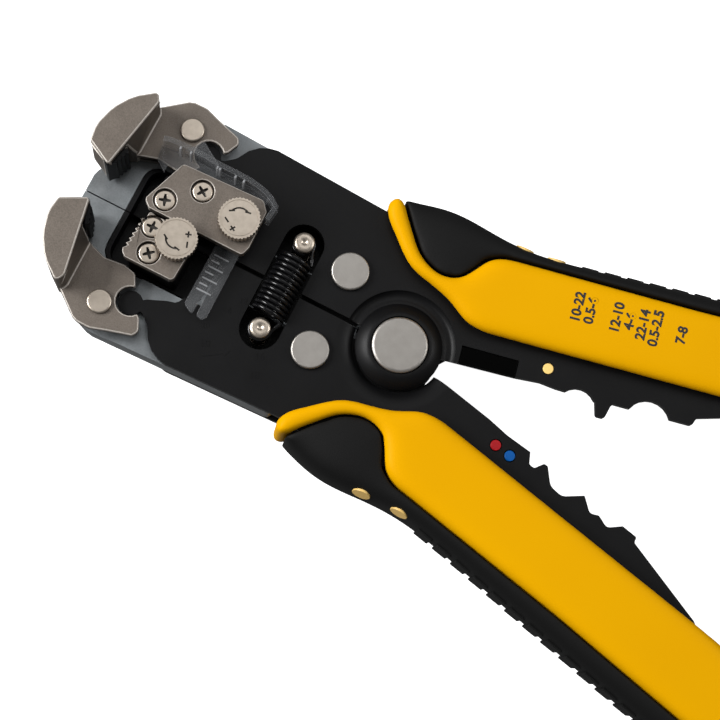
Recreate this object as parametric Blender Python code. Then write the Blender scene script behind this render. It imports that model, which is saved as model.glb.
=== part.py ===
"""Self-adjusting wire stripper with a cutter and crimping dies between its handles.

Two arms of black steel plate turn on one big rivet. In front of it they carry the knuckles that close the two
grip jaws, behind it the handles. A cast frame between the plates holds the jaws' pins and the recess in which
the two blade carriers slide.

Outlines are in millimetres from the main pivot: +X towards the handles, +Y towards the upper arm, and +Z up
from the surface that the tool lies on. Every outline is drawn for the upper arm, and a side of -1 mirrors it.
Points in the handles are (u, v): u along the handle from the pivot, v outwards from it.
"""

import math

import bmesh
import bpy

MM = 0.001
PIVOT_X = -25.212 * MM  # puts the middle of the tool's length at x = 0
GAP = 0.3
HANDLE_ANGLE = 12.0  # each open handle to the tool's axis
UPPER, LOWER = 1, -1

# Layers, from the back to the front
HANDLE_Z = (0.0, 20.0)
BACK_PLATE_Z = (4.6, 6.4)
CORE_Z = (6.7, 13.3)
FRONT_PLATE_Z = (13.6, 15.4)
FLOOR_Z = 8.0
NOSE_Z = 12.0
TONGUE_Z = (8.4, 11.6)
GRIP_BODY_Z = (12.3, 15.9)
GRIP_PLATE_Z = (15.7, 17.4)
GRIP_TOP = 26.7
BLOCK_Z = (8.3, 18.5)
BLADE_Z = (18.8, 21.4)
KNOB_Z = (22.0, 24.4)
STRIP_Z = (16.2, 17.6)
GUARD_Z = (17.7, 24.9)

# Places in the head, for the upper half
ARM_RIVET = (-16.4, 9.5)
SPRING_POST = (-27.8, 10.3)
GRIP_PIN = (-59.9, 20.9)
KNUCKLE = (-54.3, 17.8)
SCREWS = {UPPER: ((-57.5, 3.9), (-51.4, 9.2)), LOWER: ((-57.1, 2.4), (-55.2, 7.7))}
KNOBS = {UPPER: (-41.7, 6.9), LOWER: (-51.2, 2.9)}
SEAM = 0.15

# Radii
HUB_R = 9.3
SHAFT_R = 4.0
PIN_R = 1.6
SPRING_R = 3.3
SPRING_WIRE_R = 0.55
SPRING_TURNS = 10
SPRING_Z = 15.8

BLACK_PAINT = ("black_paint", (0.018, 0.018, 0.019), 0.45, 0.0)
CAST_ZINC = ("cast_zinc", (0.16, 0.17, 0.18), 0.42, 0.9)
SINTERED = ("sintered_steel", (0.20, 0.18, 0.16), 0.5, 0.9)
NICKEL = ("nickel", (0.55, 0.52, 0.48), 0.3, 1.0)
RIVET_STEEL = ("rivet_steel", (0.50, 0.49, 0.47), 0.35, 1.0)
YELLOW = ("yellow_plastic", (0.90, 0.52, 0.01), 0.4, 0.0)
SOFT_BLACK = ("soft_black", (0.022, 0.022, 0.023), 0.65, 0.0)
CLEAR = ("clear_plastic", (0.65, 0.67, 0.68), 0.15, 0.0)
RED = ("red_paint", (0.55, 0.02, 0.02), 0.4, 0.0)
BLUE = ("blue_paint", (0.0, 0.14, 0.50), 0.4, 0.0)


def clear_scene():
    for old in list(bpy.data.objects):
        bpy.data.objects.remove(old, do_unlink=True)


def material(look):
    name, colour, roughness, metallic = look
    made = bpy.data.materials.get(name)
    if made:
        return made
    made = bpy.data.materials.new(name)
    made.use_nodes = True
    shader = made.node_tree.nodes["Principled BSDF"]
    shader.inputs["Base Color"].default_value = (*colour, 1.0)
    shader.inputs["Roughness"].default_value = roughness
    shader.inputs["Metallic"].default_value = metallic
    return made


# Outlines


def arc(centre, radius, start, end, steps):
    """Points on a circle from one angle to another, in degrees."""
    found = []
    for step in range(steps + 1):
        angle = math.radians(start + (end - start) * step / steps)
        found.append((centre[0] + radius * math.cos(angle), centre[1] + radius * math.sin(angle)))
    return found


def circle(centre, radius, steps=32):
    return arc(centre, radius, 0, 360 * (steps - 1) / steps, steps - 1)


def corner(before, point, after, radius):
    """The arc that rounds one corner, in steps of about 25 degrees."""
    to_before = (before[0] - point[0], before[1] - point[1])
    to_after = (after[0] - point[0], after[1] - point[1])
    len_before = math.hypot(*to_before)
    len_after = math.hypot(*to_after)
    first = (to_before[0] / len_before, to_before[1] / len_before)
    second = (to_after[0] / len_after, to_after[1] / len_after)
    half = 0.5 * math.acos(max(-1.0, min(1.0, first[0] * second[0] + first[1] * second[1])))
    if half > math.radians(88):
        return [point[:2]]
    reach = min(radius / math.tan(half), 0.48 * len_before, 0.48 * len_after)
    radius = reach * math.tan(half)
    middle = (first[0] + second[0], first[1] + second[1])
    scale = radius / math.sin(half) / math.hypot(*middle)
    centre = (point[0] + middle[0] * scale, point[1] + middle[1] * scale)
    start = math.atan2(point[1] + first[1] * reach - centre[1], point[0] + first[0] * reach - centre[0])
    end = math.atan2(point[1] + second[1] * reach - centre[1], point[0] + second[0] * reach - centre[0])
    turn = (end - start + math.pi) % (2 * math.pi) - math.pi
    steps = max(1, round(abs(math.degrees(turn)) / 25))
    return arc(centre, radius, math.degrees(start), math.degrees(start + turn), steps)


def rounded(points):
    """An outline whose points may carry a third value, the radius of their corner."""
    found = []
    for index, point in enumerate(points):
        if len(point) == 2:
            found.append(point)
            continue
        before = points[index - 1]
        after = points[(index + 1) % len(points)]
        found.extend(corner(before, point, after, point[2]))
    return found


def in_handle(points):
    """Handle points (u, v), which may carry a radius, as head points (x, y)."""
    turn = math.radians(HANDLE_ANGLE)
    found = []
    for u, v, *radius in points:
        x = u * math.cos(turn) - v * math.sin(turn)
        y = u * math.sin(turn) + v * math.cos(turn)
        found.append((x, y, *radius))
    return found


def moved(points, distance):
    """A line of points moved sideways, to the left of its direction."""
    found = []
    for index, point in enumerate(points):
        before = points[max(index - 1, 0)]
        after = points[min(index + 1, len(points) - 1)]
        along = (after[0] - before[0], after[1] - before[1])
        share = distance / math.hypot(*along)
        found.append((point[0] - along[1] * share, point[1] + along[0] * share, *point[2:]))
    return found


# Solids


def placed(name, mesh, look, helper=False):
    mesh.materials.append(material(look))
    made = bpy.data.objects.new(name, mesh)
    bpy.context.scene.collection.objects.link(made)
    made.parent = bpy.data.objects["tool_frame"]
    if helper:
        made.hide_render = True
        made.display_type = "WIRE"
    return made


def prism(name, outline, z_span, look, side=UPPER, helper=False):
    """A solid of one outline between two heights."""
    shape = bmesh.new()
    ring = [shape.verts.new((x * MM, y * side * MM, z_span[0] * MM)) for x, y in outline]
    face = shape.faces.new(ring)
    raised = bmesh.ops.extrude_face_region(shape, geom=[face])
    for part in raised["geom"]:
        if isinstance(part, bmesh.types.BMVert):
            part.co.z = z_span[1] * MM
    bmesh.ops.recalc_face_normals(shape, faces=shape.faces)
    mesh = bpy.data.meshes.new(name)
    shape.to_mesh(mesh)
    shape.free()
    return placed(name, mesh, look, helper)


def turned(name, centre, profile, look, side=UPPER, steps=32, helper=False):
    """A solid of revolution about an upright axis. The profile is (radius, z), from the bottom to the top."""
    shape = bmesh.new()
    rings = []
    for radius, z in profile:
        points = circle((centre[0], centre[1] * side), radius, steps)
        rings.append([shape.verts.new((x * MM, y * MM, z * MM)) for x, y in points])
    for lower, upper in zip(rings, rings[1:]):
        for step in range(steps):
            following = (step + 1) % steps
            shape.faces.new((lower[step], lower[following], upper[following], upper[step]))
    shape.faces.new(rings[0][::-1])
    shape.faces.new(rings[-1])
    bmesh.ops.recalc_face_normals(shape, faces=shape.faces)
    mesh = bpy.data.meshes.new(name)
    shape.to_mesh(mesh)
    shape.free()
    return placed(name, mesh, look, helper)


def boolean(solid, tool, operation):
    modifier = solid.modifiers.new(tool.name, "BOOLEAN")
    modifier.operation = operation
    modifier.object = tool
    return solid


def cut(solid, tool):
    return boolean(solid, tool, "DIFFERENCE")


def join(solid, tool):
    return boolean(solid, tool, "UNION")


def drill(solid, centre, radius, z_span, side, steps=24):
    tool_name = f"{solid.name}_hole_{len(solid.modifiers)}"
    tool = turned(tool_name, centre, [(radius, z_span[0]), (radius, z_span[1])], SINTERED, side, steps, True)
    return cut(solid, tool)


def bevelled(solid, width, segments=2):
    modifier = solid.modifiers.new("edges", "BEVEL")
    modifier.width = width * MM
    modifier.segments = segments
    modifier.limit_method = "ANGLE"
    modifier.angle_limit = math.radians(60)
    return solid


def side_name(side):
    return "upper" if side == UPPER else "lower"


# Frame


def frame_casting(side):
    """Half of the cast frame: the nose, the jaw pin's seat, the blade recess, the outer rail and the tongue."""
    name = side_name(side) + "_frame_casting"
    outline = rounded([
        (-74.6, SEAM), (-74.6, 4.6, 2.5), (-71.2, 10.0, 4), (-69.6, 18.0, 5), (-66.4, 24.2, 4), (-60.0, 26.7, 4),
        (-17.5, 25.2, 1.5), (-17.5, 19.0, 1.5), (-41.0, 19.0, 3), (-41.0, 6.2, 3), (-6.0, 6.2), (-6.0, SEAM),
    ])
    solid = prism(name, outline, CORE_Z, CAST_ZINC, side)
    low_nose = prism(name + "_low_nose", [(-80, -1), (-54.9, -1), (-54.9, 30), (-80, 30)],
                     (NOSE_Z, 14), CAST_ZINC, side, True)
    cut(solid, low_nose)
    window = rounded([(-65.2, -5), (-65.2, 11.8, 3.5), (-41.8, 11.8, 2), (-41.8, -5)])
    cut(solid, prism(name + "_window", window, (FLOOR_Z, 14), CAST_ZINC, side, True))
    above_tongue = [(-41.9, -1), (0, -1), (0, 9), (-41.9, 9)]
    cut(solid, prism(name + "_above_tongue", above_tongue, (TONGUE_Z[1], 14), CAST_ZINC, side, True))
    below_tongue = [(-39, -1), (0, -1), (0, 9), (-39, 9)]
    cut(solid, prism(name + "_below_tongue", below_tongue, (6, TONGUE_Z[0]), CAST_ZINC, side, True))
    eye_z = (10.15, TONGUE_Z[1]) if side == UPPER else (TONGUE_Z[0], 9.85)
    clear_eye = turned(name + "_clear_eye", (0, 0), [(9.6, 6), (9.6, 14)], CAST_ZINC, side, 32, True)
    cut(solid, clear_eye)
    join(solid, turned(name + "_eye", (0, 0), [(9.0, eye_z[0]), (9.0, eye_z[1])], CAST_ZINC, side, 32, True))
    bridge = [(-10.6, SEAM + 0.4), (-7.0, SEAM + 0.4), (-7.0, 5.6), (-10.6, 5.6)]
    join(solid, prism(name + "_bridge", bridge, (eye_z[0], eye_z[1]), CAST_ZINC, side, True))
    drill(solid, (0, 0), SHAFT_R + GAP, (6, 14), side, 32)
    drill(solid, GRIP_PIN, PIN_R + GAP, (7.6, 14), side)
    return solid


def main_rivet():
    profile = [(5.2, 3.0), (6.0, 3.5), (6.0, 4.3), (SHAFT_R, 4.3), (SHAFT_R, 15.7), (6.0, 15.7), (6.0, 16.9),
               (5.3, 17.4)]
    return turned("main_pivot_rivet", (0, 0), profile, RIVET_STEEL, steps=40)


def grip_pin(side):
    profile = [(PIN_R, 7.9), (PIN_R, 17.7), (2.6, 17.7), (2.6, 18.1), (2.2, 18.3)]
    return turned(side_name(side) + "_grip_pin", GRIP_PIN, profile, NICKEL, side, 24)


def tension_spring():
    """The close-wound coil between the posts, with its wire as a six-sided tube."""
    half_length = 7.2
    steps_per_turn = 14
    sides = 6
    total = SPRING_TURNS * steps_per_turn
    shape = bmesh.new()
    rings = []
    for step in range(total + 1):
        angle = 2 * math.pi * step / steps_per_turn
        y = -half_length + 2 * half_length * step / total
        ring = []
        for corner_index in range(sides):
            turn = 2 * math.pi * corner_index / sides
            radius = SPRING_R + SPRING_WIRE_R * math.cos(turn)
            x = SPRING_POST[0] + radius * math.cos(angle)
            z = SPRING_Z + radius * math.sin(angle)
            ring.append(shape.verts.new((x * MM, (y + SPRING_WIRE_R * math.sin(turn)) * MM, z * MM)))
        rings.append(ring)
    for first, second in zip(rings, rings[1:]):
        for index in range(sides):
            following = (index + 1) % sides
            shape.faces.new((first[index], first[following], second[following], second[index]))
    shape.faces.new(rings[0][::-1])
    shape.faces.new(rings[-1])
    bmesh.ops.recalc_face_normals(shape, faces=shape.faces)
    mesh = bpy.data.meshes.new("tension_spring")
    shape.to_mesh(mesh)
    shape.free()
    return placed("tension_spring", mesh, BLACK_PAINT)


# Arms

HEAD_EDGE = [
    (-41.0, SEAM), (-41.0, 12.8, 1.5), (-47.0, 13.6, 6), (-51.6, 15.6, 1),
    *arc(KNUCKLE, 2.65, -40, -345, 12),
    (-51.0, 18.7, 0.8), (-49.0, 20.4, 2), (-46.9, 24.2, 4), (-43.0, 26.1, 4),
]
TANG_EDGE = [(-8.6, 27.4, 6), (2.0, 27.4, 6), (12.0, 21.8, 6), (100.0, 20.4, 3), (100.0, 10.4, 3), (88.0, 8.6, 4)]
UPPER_DIES = [
    (70.2, 3.3), (65.3, 1.9, 1), (64.6, 0.1, 0.5), (60.3, 0.1),
    *arc((55.4, -2.1), 5.0, 26, 154, 8),
    (47.2, 0.1), (46.7, -0.6), (46.0, -3.4, 0.6), (44.2, -3.4, 0.6), (43.4, -0.4),
    *arc((39.8, -2.7), 4.1, 36, 138, 6),
    (34.6, 0.1), (31.0, 0.5), (25.4, 0.1),
]
LOWER_DIES = [
    (84.0, 6.4), (64.3, 1.3, 0.6), (64.0, 0.1, 0.4), (60.3, 0.1), (57.8, 2.5, 1.2), (55.0, 1.5, 0.6),
    (53.2, 2.4, 1.2), (50.1, 0.1, 0.3), (46.4, 3.3, 2), (43.2, 3.1, 2), (40.2, 0.1, 0.5), (39.3, 0.2, 0.5),
    (38.2, 2.3, 0.6), (36.9, 2.3, 0.6), (35.5, 0.1), (29.6, 0.4), (24.5, 0.1),
]


BACK_EDGE = [(70.0, 7.4, 3), (17.5, 7.4, 3)]


def die_edge(side):
    return in_handle(UPPER_DIES if side == UPPER else LOWER_DIES)


def arm_outline(side, front):
    """An arm plate from the seam round the knuckle and the head's edge to the tang, back along the dies and
    round the hub: the upper plates carry it, and the lower ones leave a socket for it. Only the front plates
    have dies, and the back ones stay behind the handle."""
    inner_edge = die_edge(side) if front else in_handle(BACK_EDGE)
    eye = arc((0, 0), HUB_R, 11, -178, 18) if side == UPPER else arc((0, 0), HUB_R + GAP, 13, 178, 16)
    return rounded([*HEAD_EDGE, *in_handle(TANG_EDGE), *inner_edge, *eye])


def stepped_eye(solid, inner_z, step_z):
    """The lower plates' eye on the main rivet, joggled inwards to lie under the upper hub."""
    sector = [*arc((0, 0), 12.6, 26, 166, 12), *arc((0, 0), HUB_R + GAP + 0.3, 166, 26, 12)]
    join(solid, prism(solid.name + "_step", sector, step_z, BLACK_PAINT, LOWER, True))
    eye = [*arc((0, 0), 10.6, 27, 165, 12), *arc((0, 0), HUB_R - 0.1, 165, 387, 20)]
    return join(solid, prism(solid.name + "_eye", eye, inner_z, BLACK_PAINT, LOWER, True))


def arm_plate(side, front):
    name = side_name(side) + ("_front_plate" if front else "_back_plate")
    plate_z = FRONT_PLATE_Z if front else BACK_PLATE_Z
    solid = prism(name, arm_outline(side, front), plate_z, BLACK_PAINT, side)
    if side == LOWER and front:
        stepped_eye(solid, (11.9, 13.3), (12.0, 14.5))
    if side == LOWER and not front:
        stepped_eye(solid, (6.7, 8.1), (5.5, 8.0))
    if front and side == UPPER:
        ring = [(HUB_R, 14.6), (HUB_R, 15.4), (8.6, 16.4), (7.6, 16.8), (6.6, 16.3), (6.4, 15.0)]
        join(solid, turned(name + "_ring", (0, 0), ring, BLACK_PAINT, side, 40, True))
        drill(solid, (0, 0), 6.3, (15.4, 18), side, 40)
    drill(solid, (0, 0), SHAFT_R + GAP, (3, 16), side, 32)
    drill(solid, ARM_RIVET, 2.8 + GAP, (3, 17), side)
    if front:
        pocket_radius = 4.4
        slot = [*arc(SPRING_POST, pocket_radius, 0, 180, 12),
                (SPRING_POST[0] - pocket_radius, -1), (SPRING_POST[0] + pocket_radius, -1)]
        cut(solid, prism(name + "_spring_slot", slot, (13, 16), BLACK_PAINT, side, True))
    else:
        drill(solid, SPRING_POST, 1.6 + GAP, (3, 8), side)
    return solid


def arm_core(side):
    """The filler between an arm's plates behind the pivot, inside the handle."""
    outline = rounded([
        *in_handle([(16.0, 21.4), (99.6, 20.2, 3), (99.6, 10.6, 3), (88.0, 8.7, 4)]),
        *in_handle([(70.0, 7.6, 3), (16.5, 7.6, 2), (11.0, 12.0, 2), (13.0, 18.0, 2)]),
    ])
    return prism(side_name(side) + "_arm_core", outline, CORE_Z, BLACK_PAINT, side)


def arm_rivet(side):
    profile = [(3.6, 3.3), (4.1, 3.6), (4.1, 4.3), (2.8, 4.3), (2.8, 15.7), (4.1, 15.7), (4.1, 16.4), (3.7, 16.7)]
    return turned(side_name(side) + "_arm_rivet", ARM_RIVET, profile, RIVET_STEEL, side, 28)


def spring_post(side):
    profile = [(2.2, 3.7), (2.2, 4.3), (1.6, 4.3), (1.6, 16.2), (2.25, 16.2), (2.25, 17.1), (1.9, 17.4)]
    return turned(side_name(side) + "_spring_post", SPRING_POST, profile, NICKEL, side, 24)


# Handles

PAD_LINE = [
    (-7.4, 31.6), (-3.7, 24.9, 5), (-0.2, 19.4, 4), (4.4, 16.7, 3), (8.6, 17.1, 2.2), (11.1, 19.9, 2.5),
    (13.4, 22.9, 2), (16.8, 24.2, 3), (60.0, 24.2), (116.0, 25.6, 10), (126.0, 30.2),
]
TANG_POCKET = [(-14, -10), (-14, 28.1), (2.1, 28.1), (12.4, 22.5), (100.6, 21.1), (100.6, 9.7), (88.6, 7.9), (84, -10)]


def tang_pocket(name, side):
    return prism(name, in_handle(TANG_POCKET), (BACK_PLATE_Z[0] - GAP, FRONT_PLATE_Z[1] + GAP),
                 YELLOW, side, True)


def handle_shell(side):
    """The hard shell: the guard in front of the pivot, the long inner side and the end."""
    name = side_name(side) + "_handle_shell"
    guard = [(-9.0, 31.2, 1), (-10.6, 28.6, 1.5), (-9.8, 26.0, 3), (-2.4, 16.2, 6), (3.2, 13.9, 4),
             (7.8, 11.6, 3), (11.8, 8.1, 3), (15.5, 6.9, 4)]
    tail = [(88.0, 6.9, 40), (122.0, 9.4, 16), (133.6, 14.5, 8), (134.6, 26.0, 7), (128.0, 30.6, 2)]
    outline = rounded(in_handle([*guard, *tail, *PAD_LINE[::-1]]))
    solid = bevelled(prism(name, outline, HANDLE_Z, YELLOW, side), 1.6)
    return cut(solid, tang_pocket(name + "_pocket", side))


def handle_pad(side):
    """The soft pad: the thumb rest in the guard's bay and the strip along the outer edge."""
    name = side_name(side) + "_handle_pad"
    outer = [(124.0, 31.0, 2), (112.0, 31.0, 12), (90.0, 29.7), (60.0, 28.6, 20), (27.0, 27.4, 14),
             (17.0, 28.9, 8), (5.0, 32.8, 7), (-6.6, 31.6, 1)]
    outline = rounded(in_handle([*moved(PAD_LINE, GAP)[:-1], *outer]))
    solid = bevelled(prism(name, outline, HANDLE_Z, SOFT_BLACK, side), 1.6)
    cut(solid, tang_pocket(name + "_pocket", side))
    for u, v in INSERTS:
        (x, y), = in_handle([(u, v)])
        cut(solid, turned_sideways(f"{name}_seat_{u:.0f}", (x, y), 2.3, 4.0, -1.2, side, True))
    return solid


INSERTS = ((13.2, 30.1), (21.8, 27.9))
INSERT_Z = 12.0


def turned_sideways(name, base, radius, depth, stand, side, helper=False):
    """A round plug that points out of the handle's outer edge, from a depth inside to stand outside."""
    turn = math.radians(HANDLE_ANGLE)
    out = (-math.sin(turn), math.cos(turn))
    along = (math.cos(turn), math.sin(turn))
    steps = 20
    shape = bmesh.new()
    rings = []
    for reach in (-abs(stand), depth):
        ring = []
        for step in range(steps):
            angle = 2 * math.pi * step / steps
            across = radius * math.cos(angle)
            x = base[0] + along[0] * across + out[0] * reach
            y = base[1] + along[1] * across + out[1] * reach
            ring.append(shape.verts.new((x * MM, y * side * MM, (INSERT_Z + radius * math.sin(angle)) * MM)))
        rings.append(ring)
    for step in range(steps):
        following = (step + 1) % steps
        shape.faces.new((rings[0][step], rings[0][following], rings[1][following], rings[1][step]))
    shape.faces.new(rings[0][::-1])
    shape.faces.new(rings[1])
    bmesh.ops.recalc_face_normals(shape, faces=shape.faces)
    mesh = bpy.data.meshes.new(name)
    shape.to_mesh(mesh)
    shape.free()
    return placed(name, mesh, YELLOW, helper)


def pad_inserts(side):
    for place, (u, v) in zip(("front", "rear"), INSERTS):
        (x, y), = in_handle([(u, v)])
        turned_sideways(f"{side_name(side)}_pad_insert_{place}", (x, y), 2.0, 0.7, -0.9, side)


def crimp_mark(name, place, look, side):
    (x, y), = in_handle([place])
    plate = bpy.data.objects[side_name(side) + "_front_plate"]
    drill(plate, (x, y), 1.15 + 0.2, (14.5, 16), side, 20)
    return turned(name, (x, y), [(1.15, 14.8), (1.15, 15.5)], look, side, 20)


def cutter_blade():
    """The ground blade let into the upper plate beside the pivot."""
    plate = bpy.data.objects["upper_front_plate"]
    seat = in_handle([(12.9, -2), (25.5, -2), (25.5, 3.8), (12.9, 3.8)])
    cut(plate, prism("cutter_seat", seat, (14.3, 16), BLACK_PAINT, UPPER, True))
    blade = in_handle([(13.2, 0.15), (25.2, 0.15), (25.2, 3.5), (13.2, 3.5)])
    return prism("cutter_blade", blade, (14.6, 15.3), BLACK_PAINT)


# Grip jaws

GRIP_BACK = [
    (-67.5, 20.9, 1), (-68.5, 22.6, 0.8), (-72.8, 19.3, 6), (-75.4, 15.2, 6), (-76.7, 10.4, 4), (-76.2, 6.9, 0.5),
]
GRIP_BLOCK = [*GRIP_BACK, (-72.0, 4.65), (-70.9, 6.0), (-69.4, 9.6), (-67.6, 10.6, 0.8)]
GRIP_CAP = [*GRIP_BACK, (-70.9, 4.1, 0.4), (-70.1, 4.6, 0.4), (-67.6, 9.6, 0.6)]


def leaning_wall(name, side):
    """What the block's rear wall lacks: it leans forwards from its foot, more so towards the mouth."""
    corners = []
    for z, front in ((17.45, 2.0), (27.5, -0.17)):
        for y, x in ((-2.0, -71.65), (24.0, -66.85)):
            corners.append(((x + front) * MM, y * side * MM, z * MM))
            corners.append((-50.0 * MM, y * side * MM, z * MM))
    mesh = bpy.data.meshes.new(name + "_lean")
    shape = bmesh.new()
    bmesh.ops.convex_hull(shape, input=[shape.verts.new(corner) for corner in corners])
    bmesh.ops.recalc_face_normals(shape, faces=shape.faces)
    shape.to_mesh(mesh)
    shape.free()
    return placed(name + "_lean", mesh, SINTERED, True)


def grip_jaw(side):
    """The sintered jaw: a crescent block on a thick body, and the thin tail with the knuckle's notch."""
    name = side_name(side) + "_grip_jaw"
    tail = rounded([
        (-68.2, 10.4), (-63.4, 12.0, 1), (-59.0, 11.5, 1), (-56.1, 12.1, 1), (-54.9, 14.4),
        *arc(KNUCKLE, 3.1, 260, 35, 12),
        (-51.0, 20.2), (-49.8, 22.8, 1), (-50.5, 24.1, 1), (-56.0, 25.7, 2), (-59.3, 26.8, 2), (-62.9, 26.7, 2),
        (-68.2, 22.4), (-70.0, 18.0), (-70.0, 12.0),
    ])
    solid = prism(name, tail, GRIP_PLATE_Z, SINTERED, side)
    body = rounded([
        (-68.2, 10.7), (-63.4, 12.2, 1), (-59.4, 13.5, 1), (-57.6, 16.0), (-57.6, 25.0, 1), (-60.0, 26.4, 2),
        (-62.9, 26.3, 2), (-68.0, 22.3), (-71.5, 19.0), (-72.5, 12.0),
    ])
    join(solid, prism(name + "_body", body, GRIP_BODY_Z, SINTERED, side, True))
    block = prism(name + "_block", rounded(GRIP_BLOCK), (GRIP_BODY_Z[0] + 0.1, 25.6), SINTERED, side, True)
    join(solid, block)
    join(solid, prism(name + "_cap", rounded(GRIP_CAP), (25.5, GRIP_TOP), SINTERED, side, True))
    cut(solid, leaning_wall(name, side))
    drill(solid, GRIP_PIN, PIN_R + GAP, (11, 18), side)
    return solid


def grip_insert(side):
    """The serrated corner piece that bites the wire, ribbed down its rear face."""
    ridges = 4
    start, end = (-69.95, 5.0), (-68.4, 8.8)
    saw = []
    for index in range(ridges):
        for share, stand in ((0.0, 0.0), (0.6, 0.45)):
            at = (index + share) / ridges
            x = start[0] + (end[0] - start[0]) * at + stand * 0.93
            y = start[1] + (end[1] - start[1]) * at - stand * 0.38
            saw.append((x, y))
    outline = [(-71.75, 4.35), (-70.8, 3.9), *saw, (-68.4, 8.9), (-69.05, 9.2), (-70.62, 5.85)]
    return prism(side_name(side) + "_grip_insert", outline, (13.2, 25.2), BLACK_PAINT, side)


# Blade carriers


def carrier_block(side):
    name = side_name(side) + "_carrier_block"
    front, rear, inner, outer = (-60.0, -49.3, 1.3, 11.2) if side == UPPER else (-59.4, -48.0, 0.3, 10.2)
    corner_room = [(-58.2, outer, 0.4), (-58.2, 9.4), (front, 9.4, 0.4)] if side == UPPER else [(front, outer, 1.2)]
    outline = rounded([(front, inner, 0.6), (rear, inner, 0.6), (rear, outer, 1.2), *corner_room])
    solid = prism(name, outline, BLOCK_Z, BLACK_PAINT, side)
    for screw in SCREWS[side]:
        drill(solid, screw, 1.2 + GAP, (11.7, 20), side, 16)
    if side == LOWER:
        drill(solid, KNOBS[side], 1.5 + GAP, (11.7, 20), side, 16)
    return solid


def blade_plate(side):
    """The sintered plate on a carrier. The upper one has a pointed corner, the lower one a sawtooth edge."""
    name = side_name(side) + "_blade_plate"
    if side == UPPER:
        outline = rounded([
            (-59.7, 0.9), (-37.9, 0.9, 0.8), (-37.3, 3.0), (-37.5, 11.4, 0.8), (-39.2, 13.4, 1), (-43.5, 13.2),
            (-57.6, 12.6, 0.8), (-61.2, 2.6), (-60.9, 1.9),
        ])
    else:
        teeth = 7
        low, high = 0.9, 9.1
        saw = []
        for index in range(teeth):
            y = high + (low - high) * index / teeth
            saw.append((-60.5 + 0.09 * index, y))
            saw.append((-59.7 + 0.09 * index, y - 0.75 * (high - low) / teeth))
        outline = rounded([(-59.0, -0.2, 0.4), *saw[::-1], (-60.2, 9.9), (-59.3, 10.7, 0.5),
                           (-48.1, 10.7, 0.9), (-47.6, -0.2, 0.5)])
    solid = prism(name, outline, BLADE_Z, SINTERED, side)
    for screw in SCREWS[side]:
        drill(solid, screw, 1.2 + GAP, (18, 22), side, 16)
        drill(solid, screw, 2.5, (19.5, 22), side)
    drill(solid, KNOBS[side], 1.5 + GAP, (18, 22), side, 16)
    return solid


def blade_screw(side, index):
    place = ("front", "rear")[index]
    profile = [(1.2, 12.0), (1.2, 19.8), (2.1, 19.8), (2.1, 20.9), (1.8, 21.1)]
    return turned(f"{side_name(side)}_{place}_screw", SCREWS[side][index], profile, NICKEL, side, 20)


def tension_knob(side):
    """A knurled knob on its adjusting shaft."""
    name = side_name(side) + "_tension_knob"
    bottom = 16.0 if side == UPPER else 12.0
    flutes = 36
    rim = []
    for step in range(2 * flutes):
        radius = 4.5 if step % 2 else 4.25
        angle = math.pi * step / flutes
        x = KNOBS[side][0] + radius * math.cos(angle)
        y = KNOBS[side][1] + radius * math.sin(angle)
        rim.append((x, y))
    solid = prism(name, rim, KNOB_Z, NICKEL, side)
    shaft = turned(name + "_shaft", KNOBS[side], [(1.5, bottom), (1.5, KNOB_Z[0] + 0.5)], NICKEL, side, 16, True)
    return join(solid, shaft)


# Wire stop


# The thumb guard's inner wall in plan, from its front end to its rear end.
GUARD_LINE = [
    (-63.2, 14.3), (-61.6, 14.62), (-60.0, 14.82), (-57.0, 14.95), (-54.0, 14.86), (-50.3, 14.66), (-46.6, 14.7),
    (-43.6, 14.62), (-41.2, 14.3), (-39.4, 13.85), (-37.7, 13.1),
]


def wire_stop():
    """One clear moulding: the thumb guard, its floor, the bridge under the blade plate and the stop strip."""
    line = GUARD_LINE
    wall = [*line, (-36.6, 12.4), (-36.9, 9.4), (-36.0, 9.3), (-35.6, 12.8), *moved(line, 1.0)[::-1]]
    solid = prism("wire_stop", wall, GUARD_Z, CLEAR)
    floor = [(-63.9, 14.9), (-63.4, 11.8), (-60.9, 9.9), (-60.9, 11.7), (-37.4, 11.7), (-36.6, 11.7),
             *[(x, y + 0.4) for x, y in line[::-1]]]
    join(solid, prism("wire_stop_floor", floor, (GUARD_Z[0] - 0.05, 18.45), CLEAR, UPPER, True))
    web = [(-59.4, 15.3), (-54.6, 15.2), (-49.6, 15.2), (-56.2, 19.4)]
    join(solid, prism("wire_stop_web", web, (18.55, 19.5), CLEAR, UPPER, True))
    bridge = [(-39.9, 1.5), (-37.6, 1.5), (-37.0, 9.8), (-36.8, 13.2), (-39.9, 13.2)]
    join(solid, prism("wire_stop_bridge", bridge, (STRIP_Z[0], 18.4), CLEAR, UPPER, True))
    strip = rounded([(-44.1, -13.1, 0.8), (-41.8, -14.3, 0.4), (-41.65, -10.6, 0.35), (-40.9, -10.6, 0.35),
                     (-40.75, -14.1, 0.3), (-39.4, -14.5, 1.0), (-38.2, -12.6, 1.2), (-38.4, 2.6), (-44.1, 2.6)])
    return join(solid, prism("wire_stop_strip", strip, STRIP_Z, CLEAR, UPPER, True))


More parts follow.
